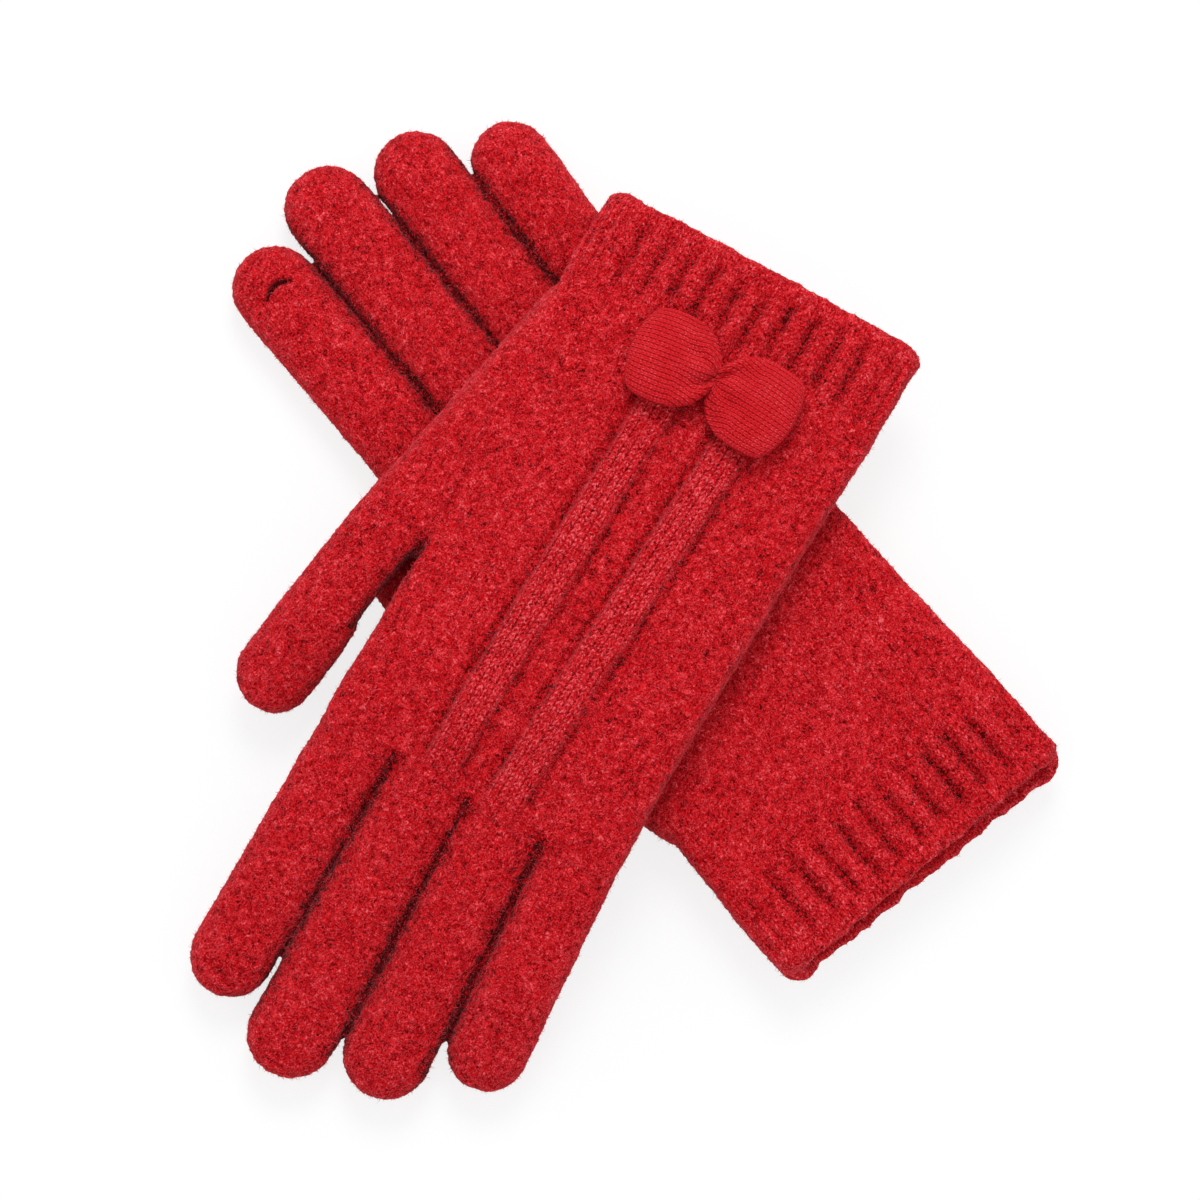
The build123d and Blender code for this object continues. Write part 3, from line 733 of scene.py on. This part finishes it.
class Nodes:
    """Short calls for a node tree."""

    def __init__(self, name):
        self.material = bpy.data.materials.new(name)
        self.material.use_nodes = True
        self.tree = self.material.node_tree
        self.tree.nodes.clear()

    def node(self, kind, inputs=(), **settings):
        made = self.tree.nodes.new(kind)
        for key, value in settings.items():
            setattr(made, key, value)
        for key in inputs:
            made.inputs[key].default_value = inputs[key]
        return made

    def link(self, a, b):
        self.tree.links.new(a, b)

    def value(self, socket, given):
        if isinstance(given, (int, float)):
            socket.default_value = given
        else:
            self.link(given, socket)

    def math(self, operation, *given, clamp=False):
        made = self.node("ShaderNodeMath", operation=operation, use_clamp=clamp)
        for socket, value in zip(made.inputs, given):
            self.value(socket, value)
        return made.outputs[0]

    def total(self, parts, base):
        """`base` and `gain` times each value's distance from its middle."""
        terms = [self.math("MULTIPLY", self.math("SUBTRACT", value, middle), gain)
                 for value, middle, gain in parts]
        result = terms[0]
        for term in terms[1:]:
            result = self.math("ADD", result, term)
        return self.math("ADD", result, base, clamp=True)

    def noise(self, scale, detail=2.0, rough=0.6, curl=0.0):
        place = self.node("ShaderNodeTexCoord").outputs["Object"]
        made = self.node("ShaderNodeTexNoise", {"Scale": scale, "Detail": detail,
                                                "Roughness": rough, "Distortion": curl})
        self.link(place, made.inputs["Vector"])
        return made.outputs["Fac"]

    def stitches(self, wale, course, warp):
        """A plain knit in the knit coordinates: its legs' height, and the gaps between its columns."""
        uv = self.node("ShaderNodeUVMap", uv_map="knit").outputs[0]
        split = self.node("ShaderNodeSeparateXYZ")
        self.link(uv, split.inputs[0])
        bend = self.math("MULTIPLY", self.math("SUBTRACT", self.noise(330.0, 1.0), 0.5), warp)
        across = self.math("ADD", split.outputs[0], bend)
        along = self.math("ADD", split.outputs[1], self.math("MULTIPLY", bend, 1.3))
        u = self.math("FRACT", self.math("DIVIDE", across, wale))
        a = self.math("MULTIPLY", self.math("ABSOLUTE", self.math("SUBTRACT", u, 0.5)), 2.0)
        row = self.math("SUBTRACT", self.math("DIVIDE", along, course), self.math("MULTIPLY", a, LEG_SLANT))
        leg = self.math("COSINE", self.math("MULTIPLY", row, 2 * math.pi))
        leg = self.math("MULTIPLY_ADD", leg, 0.5, 0.5)
        middle = self.math("ABSOLUTE", self.math("SUBTRACT", self.math("MULTIPLY", a, 2.0), 1.0))
        height = self.math("MULTIPLY", leg, self.math("SUBTRACT", 1.0, self.math("POWER", middle, LEG_ROUND)))
        return height, self.math("POWER", a, 5.0)

    def finish(self, factor, colours, height, bump, rough, sheen):
        """Colours along `factor` on a rough surface with `height` as its relief."""
        ramp = self.node("ShaderNodeValToRGB")
        ramp.color_ramp.interpolation = "EASE"
        elements = ramp.color_ramp.elements
        while len(elements) < len(colours):
            elements.new(0.5)
        for element, (at, colour) in zip(elements, colours):
            element.position, element.color = at, (*colour, 1)
        self.link(factor, ramp.inputs[0])
        shader = self.node("ShaderNodeBsdfPrincipled", {
            "Roughness": rough, "Specular IOR Level": YARN_GLOSS, "Sheen Weight": sheen,
            "Sheen Roughness": SHEEN_ROUGH, "Sheen Tint": SHEEN_TINT})
        self.link(ramp.outputs[0], shader.inputs["Base Color"])
        lift = self.node("ShaderNodeBump", {"Strength": bump, "Distance": BUMP_METRES})
        self.link(height, lift.inputs["Height"])
        self.link(lift.outputs[0], shader.inputs["Normal"])
        out = self.node("ShaderNodeOutputMaterial")
        self.link(shader.outputs[0], out.inputs[0])
        return self.material


# the yarn's colours from the bottom of the nap to its tips: MID is the yarn's red, the darker ones painted
# shade down in the nap, grooves, creases and slit, the lighter ones painted highlight on the tips
DEEP, DARK, LOW = (0.040, 0.0003, 0.0008), (0.17, 0.0007, 0.0018), (0.37, 0.0016, 0.0042)
MID, HIGH, PALE = (0.59, 0.0055, 0.0105), (0.75, 0.030, 0.042), (0.88, 0.140, 0.160)


def brushed_knit(name):
    """Short curly nap over a plain knit: painted shade between the tufts, painted highlight on them."""
    n = Nodes(name)
    # the yarn attribute holds the painted shade and highlight from the knit's relief
    yarn = n.node("ShaderNodeAttribute", attribute_name="yarn").outputs["Fac"]
    plain = n.node("ShaderNodeAttribute", attribute_name="plain").outputs["Fac"]
    fine = n.noise(1150.0, 2.5, 0.62, curl=1.8)
    clumps = n.noise(620.0, 2.0, 0.55, curl=0.8)
    strands = n.math("ABSOLUTE", n.math("SUBTRACT", n.noise(760.0, 1.0, 0.5, curl=1.4), 0.5))
    curls = n.math("SUBTRACT", 1.0, n.math("MULTIPLY", strands, 8.0), clamp=True)
    patches = n.noise(75.0, 1.0)
    legs, gaps = n.stitches(WALE, COURSE, 0.5)
    # stitch legs lighter and the gaps between columns darker: painted shade
    knit = n.math("MULTIPLY", n.math("SUBTRACT", legs, n.math("MULTIPLY", gaps, 0.75)), plain)
    factor = n.total([(fine, 0.5, 1.6), (curls, 0.45, 0.38), (clumps, 0.5, 0.40), (patches, 0.5, 0.12),
                      (knit, 0.28, 0.28), (yarn, 0.5, 0.85)], 0.56)
    height = n.math("ADD", n.math("MULTIPLY", fine, 0.9), n.math("MULTIPLY", knit, 0.4))
    nap = n.math("ADD", n.math("MULTIPLY", clumps, 0.4), n.math("MULTIPLY", curls, 0.35))
    height = n.math("ADD", height, nap)
    colours = [(0.0, DEEP), (0.12, DARK), (0.28, LOW), (0.5, MID), (0.78, HIGH), (1.0, PALE)]
    return n.finish(factor, colours, height, bump=0.8, rough=0.95, sheen=0.2)


def jersey(name):
    """Fine smooth knit with its stitches showing, lighter on the legs and with painted shade in the gaps
    between columns.
    """
    n = Nodes(name)
    legs, gaps = n.stitches(JERSEY_WALE, JERSEY_COURSE, 0.35)
    knit = n.math("SUBTRACT", n.math("MULTIPLY", legs, 0.85), n.math("MULTIPLY", gaps, 0.85))
    fine = n.noise(1700.0, 2.0)
    patches = n.noise(160.0, 1.0)
    factor = n.total([(knit, 0.0, 0.42), (fine, 0.5, 0.6), (patches, 0.5, 0.25)], 0.53)
    height = n.math("ADD", knit, n.math("MULTIPLY", fine, 0.3))
    colours = [(0.0, DARK), (0.3, LOW), (0.5, MID), (0.85, HIGH), (1.0, PALE)]
    return n.finish(factor, colours, height, bump=0.7, rough=0.9, sheen=0.05)


def plain_yarn(name, base, scale, sheen):
    """One colour, darker and lighter by turns."""
    n = Nodes(name)
    fine = n.noise(scale, 2.0)
    shades = ((0.2, 0.45), (0.5, 1.0), (0.8, 1.5))
    colours = [(at, tuple(min(1, c * k) for c in base)) for at, k in shades]
    return n.finish(fine, colours, fine, bump=0.5, rough=0.95, sheen=sheen)


knit_material = brushed_knit("brushed knit")
rib_material = brushed_knit("rib knit")
bow_material = jersey("bow jersey")
# the nap fibre's red is made paler than the knit's: painted highlight for the light fuzzy fringe and flecks
nap_material = plain_yarn("nap fibre", (0.82, 0.075, 0.095), 300.0, 0.3)
# darker than the knit: partly the lining's own colour, partly painted shade inside the wrist opening
fleece_material = plain_yarn("fleece lining", (0.36, 0.010, 0.016), 900.0, 0.4)
sewing_material = plain_yarn("sewing yarn", (0.42, 0.008, 0.014), 1500.0, 0.2)
elastic_material = plain_yarn("elastic yarn", (0.30, 0.006, 0.010), 1500.0, 0.1)


# ---- bow
# shares of a loop's reach, and its half height and half thickness there
LOOP_SHARES = [0.0, 0.05, 0.12, 0.22, 0.36, 0.52, 0.70, 0.84, 0.93, 0.98, 1.0]
LOOP_HALF = [1.5, 3.0, 5.9, 9.2, 11.3, 12.0, 12.0, 11.8, 11.3, 10.6, 9.8]
LOOP_THICK = [1.2, 1.8, 2.6, 3.3, 3.8, 3.9, 3.7, 3.1, 2.3, 1.3, 0.3]
LOOP_REACH = 21.0


def bow_loop(place, side):
    """One loop of the bow: a pillow of jersey, gathered at the middle, flat where a glove lies on it."""
    around, along = 320, 130
    squash, middle, top = (1.0, 3.7, 8.5) if place.upper else (0.40, 1.75, 3.3)
    rings, uvs = [], []
    for u in 1 - (1 - np.linspace(0.0, 1.0, along)) ** 1.25:
        half, thick = np.interp(u, LOOP_SHARES, LOOP_HALF), np.interp(u, LOOP_SHARES, LOOP_THICK)
        y, z = superellipse(around, half, thick, 2.4)
        share = y / half
        point = np.stack([np.full(around, LOOP_REACH * u), y, z], 1)
        # folds fan out from the gathered middle and die away towards the end
        fade = math.exp(-((u - 0.14) / 0.20) ** 2)
        fold = fade * (1.0 * np.cos(4.6 * share + 0.9 * side) + 0.8 * np.cos(9.0 * share - 1.1 * side))
        long_fold = 1.3 * math.exp(-((u - 0.30) / 0.17) ** 2) * np.exp(-((share + 0.30 * side) / 0.17) ** 2)
        point[:, 2] += (fold - long_fold) * np.where(z > 0, 1.0, 0.4)
        # the outer end bows out to a blunt point, and the corners at the pinch puff back over it
        point[:, 0] += (1.7 * (1 - np.abs(share) ** 1.6) - 0.9 * share ** 6) * smooth(u, 0.5, 1.0)
        point[:, 0] -= 1.6 * np.abs(share) ** 3 * (1 - smooth(u, 0.1, 0.5))
        rings.append(point)
        uvs.append(np.stack([share * (4.5 + 7.0 * smooth(u, 0.0, 0.45)), np.full(around, LOOP_REACH * u)], 1))
    points, uv = np.concatenate(rings), np.concatenate(uvs)
    points[:, 2] += 0.30 * noise(points + 40 * side, 8.0, 31) + 0.12 * noise(points + 70 * side, 3.5, 32)
    knit = stitches(uv[:, 0], uv[:, 1], JERSEY_WALE, JERSEY_COURSE)
    quads = tube_quads(along, around)
    if side > 0:
        quads = quads[:, ::-1]
    # a slight turn of each loop in the plane of the hand
    a = math.radians(7.0 if side > 0 else -3.0)
    x, y = points[:, 0] * side, points[:, 1] - (0.8 if side > 0 else -0.5)
    points = np.stack([x * math.cos(a) - y * math.sin(a), x * math.sin(a) + y * math.cos(a), points[:, 2]], 1)
    normal = vertex_normals(points, quads.ravel(), np.full(len(quads), 4))
    points = points + normal * (0.08 * knit)[:, None]
    points[:, 2] = np.clip(points[:, 2] * squash + middle, 0.12, top)
    return points, quads, uv, knit


def to_bow_place(place, points):
    """From the bow's own space to its place on the back of the hand."""
    world = place.to_world(points + np.array([*BOW_PLACE, HAND_THICKNESS / 2 + 0.55]))
    if not place.upper:
        world[:, 2] = np.maximum(world[:, 2], BOW_LOW)
    return world


def make_bow(place):
    for label, side in (("thumb_side", 1), ("little_side", -1)):
        points, quads, uv, knit = bow_loop(place, side)
        obj = make_piece(f"{place.name}_bow_{label}", to_bow_place(place, points), quads, uv[:, 0], uv[:, 1],
                         knit, knit, [bow_material])
        cap_ends(obj)
        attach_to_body(obj, f"{place.name}_hand")
        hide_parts(f"{place.name}_bow_loop_{label}")
    wrap = bow_wrap(place)
    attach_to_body(wrap, f"{place.name}_hand")
    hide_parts(f"{place.name}_bow_wrap")


def cap_ends(obj):
    """Closes the two open ends of a tube mesh."""
    bm = bmesh.new()
    bm.from_mesh(obj.data)
    edges = [e for e in bm.edges if e.is_boundary]
    bmesh.ops.holes_fill(bm, edges=edges, sides=0)
    bmesh.ops.triangulate(bm, faces=[f for f in bm.faces if len(f.verts) > 4])
    for f in bm.faces:
        f.smooth = True
    bm.to_mesh(obj.data)
    bm.free()


def bow_wrap(place):
    """The gathered middle: jersey pulled tight by a few turns of yarn."""
    around, along = 60, 40
    squash, raised = (1.0, 0.0) if place.upper else (0.42, 0.3)
    a = np.linspace(0, 2 * math.pi, around, endpoint=False)
    rings = []
    for u in np.linspace(-1, 1, along):
        round_off = math.sqrt(max(0.02, 1 - abs(u) ** 3))
        x = 1.15 * round_off * np.cos(a) * (1 + 0.08 * np.cos(3 * a + 2.0 * u)) + 0.9 * u
        z = (2.0 * round_off * np.sin(a) * (1 - 0.25 * u * u) + 3.1) * squash + raised
        rings.append(np.stack([x, np.full(around, 2.7 * u), z], 1))
    points = np.concatenate(rings)
    turns = np.cos(2 * math.pi * (points[:, 1] + 0.8 * points[:, 0]) / 0.9)
    quads = tube_quads(along, around)[:, [0, 3, 2, 1]]
    normal = vertex_normals(points, quads.ravel(), np.full(len(quads), 4))
    points += normal * (0.12 * turns)[:, None]
    knit = 0.5 + 0.4 * turns
    obj = make_piece(f"{place.name}_bow_knot", to_bow_place(place, points), quads, points[:, 1], points[:, 2],
                     knit, knit, [bow_material])
    cap_ends(obj)
    return obj


# ---- one glove
REPLACED = {
    "hand": ["hand_knit", "hand_lining"],
    "cuff": ["cuff_rib", "cuff_hem"],
    "thumb": ["thumb_knit", "thumb_lining"],
}


def make_glove(place):
    rng = np.random.default_rng(7 if place.upper else 8)
    points, loops, sizes = fused(place)
    tube, across, along = knit_space(place, points)
    height, shade, plain = relief(place, points, tube, across, along, is_inside(points))
    raised = points + vertex_normals(points, loops, sizes) * height[:, None]
    raised[:, 1] -= hem_scallops(place, points)
    world = place_skin(place, points, raised)
    world[:, 2] = np.maximum(world[:, 2], SKIN_LOW)

    quads = loops.reshape(-1, 4)
    centres = points[quads].mean(1)
    piece = piece_of(place, centres, knit_space(place, centres)[0])
    inside = is_inside(centres)

    cores = {}
    for digit in DIGITS[place.name]:
        core, core_quads = finger_core(place, digit)
        cores[digit] = core_quads + len(world)
        _, core_across, core_along = knit_space(place, core)
        world = np.concatenate([world, place_skin(place, core, core)])
        across, along = np.append(across, core_across), np.append(along, core_along)
        shade, plain = np.append(shade, np.full(len(core), CORE_SHADE)), np.append(plain, np.zeros(len(core)))

    for k, kind in enumerate(PIECES):
        mine = piece == k
        core = cores.get(kind, np.zeros((0, 4), int))
        material = rib_material if kind == "cuff" else knit_material
        skin = make_piece(f"{place.name}_{kind}_knit_skin", world, np.concatenate([quads[mine], core]),
                          across, along, shade, plain, [material, fleece_material],
                          np.append(inside[mine], np.zeros(len(core), bool)))
        nodes = REPLACED.get(kind, [f"{kind}_knit", f"{kind}_lining"])
        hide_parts(*[f"{place.name}_{n}" for n in nodes])
        outer = quads[mine & ~inside]
        count = int(len(outer) * VOXEL ** 2 * NAP_PER_AREA)
        nap = make_nap(f"{place.name}_{kind}_nap", rng, world, outer, count)
        for thing in (skin, nap):
            attach(place, kind, thing)
    make_bow(place)
    for node, material in (("cuff_elastic", elastic_material), ("bow_tacks", sewing_material)):
        cad = frame["nodes"][f"{place.name}_{node}"]
        cad.data.materials.clear()
        cad.data.materials.append(material)


def place_skin(place, rule, p):
    """Flat glove to its place on the table, each point moved as its `rule` point says."""
    world = place.to_world(p)
    tube, _, _ = knit_space(place, rule)
    q = place.thumb_space(rule)
    on_thumb = (tube == THUMB) | ((q[:, 0] > -13) & (q[:, 1] > -16) & (q[:, 1] < 6))
    weight = smooth(rule[:, 0], 38.0, 44.0) * on_thumb
    turned = place.thumb_droop(world, q[:, 1])
    world = world + (turned - world) * weight[:, None]
    if not place.upper:
        return world
    for digit, finger in DIGITS[place.name].items():
        mine = tube == PIECES.index(digit)
        along = place.finger_space(digit, rule[mine])[:, 1]
        sinks = smooth(along, finger.knuckle - DROOP_REACH, finger.knuckle + DROOP_REACH)
        angle = place.finger_droop(digit) * sinks
        world[mine] = turn_about(world[mine], *place.hinge(digit), angle)
    return world


def attach(place, kind, obj):
    """Hand and cuff pieces ride on the hand. For a finger or thumb a reach from the hand towards its end is
    worked out but not used, and the piece only has its transform baked in.
    """
    hand = f"{place.name}_hand"
    if kind in ("hand", "cuff"):
        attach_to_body(obj, hand)
        return
    if kind == "thumb":
        reach = place.on_thumb(np.array([[0, THUMB_BLEND_START, 0], [0, THUMB_BLEND_END, 0.0]]))
    else:
        knuckle = DIGITS[place.name][kind].knuckle
        reach = np.array([[0, knuckle - BLEND_REACH, 0], [0, knuckle + BLEND_REACH, 0.0]])
        reach = place.on_finger(kind, reach)
    start, stop = place_skin(place, reach, reach)
    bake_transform(obj)


# ---- studio
AZIMUTH, ELEVATION, DISTANCE = math.radians(29.35), math.radians(81.0), 1.002
LOOK_AT = Vector((0.0024, 0.0228, 0.012))
WORLD_LIGHT, WORLD_SEEN = 0.84, 1.0     # the room's light, and how bright the camera sees it
FLOOR_GLOW, FLOOR_REACH = 0.8, 3.0
KEY_POWER, KEY_SIZE = 7.5, 0.55
KEY_RIGHT, KEY_UP, KEY_HEIGHT = 0.08, 0.80, 0.95    # right and up as the camera sees the floor


def room():
    scene = bpy.context.scene
    scene.view_settings.view_transform = "Standard"
    scene.world = bpy.data.worlds.new("room")
    scene.world.use_nodes = True
    tree = scene.world.node_tree
    back = tree.nodes["Background"]
    back.inputs[0].default_value = (1, 1, 1, 1)
    seen = tree.nodes.new("ShaderNodeLightPath")
    strength = tree.nodes.new("ShaderNodeMix")
    strength.inputs[2].default_value = WORLD_LIGHT
    strength.inputs[3].default_value = WORLD_SEEN
    tree.links.new(seen.outputs["Is Camera Ray"], strength.inputs[0])
    tree.links.new(strength.outputs[0], back.inputs[1])


def floor():
    """Pale matt floor that fades into the white room."""
    n = Nodes("pale floor")
    matt = n.node("ShaderNodeBsdfDiffuse")
    matt.inputs[0].default_value = (0.93, 0.93, 0.93, 1)
    seen = n.node("ShaderNodeLightPath").outputs["Is Camera Ray"]
    mixed = n.node("ShaderNodeMixShader")
    n.link(n.math("MULTIPLY", seen, FLOOR_GLOW), mixed.inputs[0])
    n.link(matt.outputs[0], mixed.inputs[1])
    n.link(n.node("ShaderNodeEmission").outputs[0], mixed.inputs[2])
    n.link(mixed.outputs[0], n.node("ShaderNodeOutputMaterial").inputs[0])
    mesh = bpy.data.meshes.new("floor")
    corners = [(x * FLOOR_REACH, y * FLOOR_REACH, 0) for x, y in ((-1, -1), (1, -1), (1, 1), (-1, 1))]
    mesh.from_pydata(corners, [], [(0, 1, 2, 3)])
    mesh.materials.append(n.material)
    shown("floor", mesh)


def key_light():
    """One large soft light, from beyond the gloves' upper end in the picture."""
    light = bpy.data.lights.new("key", "AREA")
    light.shape, light.size, light.energy = "DISK", KEY_SIZE, KEY_POWER
    lamp = shown("key", light)
    right = Vector((math.cos(AZIMUTH), math.sin(AZIMUTH), 0))
    up = Vector((-math.sin(AZIMUTH), math.cos(AZIMUTH), 0))
    lamp.location = right * KEY_RIGHT + up * KEY_UP + Vector((0, 0, KEY_HEIGHT))
    lamp.rotation_euler = (-lamp.location).to_track_quat("-Z", "Y").to_euler()


def camera():
    """The photographer's view: nearly overhead, with a long lens."""
    back = Vector((math.sin(AZIMUTH) * math.cos(ELEVATION), -math.cos(AZIMUTH) * math.cos(ELEVATION),
                   math.sin(ELEVATION)))
    data = bpy.data.cameras.new("camera")
    data.lens, data.sensor_width = 120.0, 36.0
    obj = shown("camera", data)
    obj.location = LOOK_AT + back * DISTANCE
    obj.rotation_mode = "QUATERNION"
    obj.rotation_quaternion = (-back).to_track_quat("-Z", "Y")
    bpy.context.scene.camera = obj


room()
floor()
key_light()
camera()
for glove_name in ("lower", "upper"):
    make_glove(Place(glove_name))
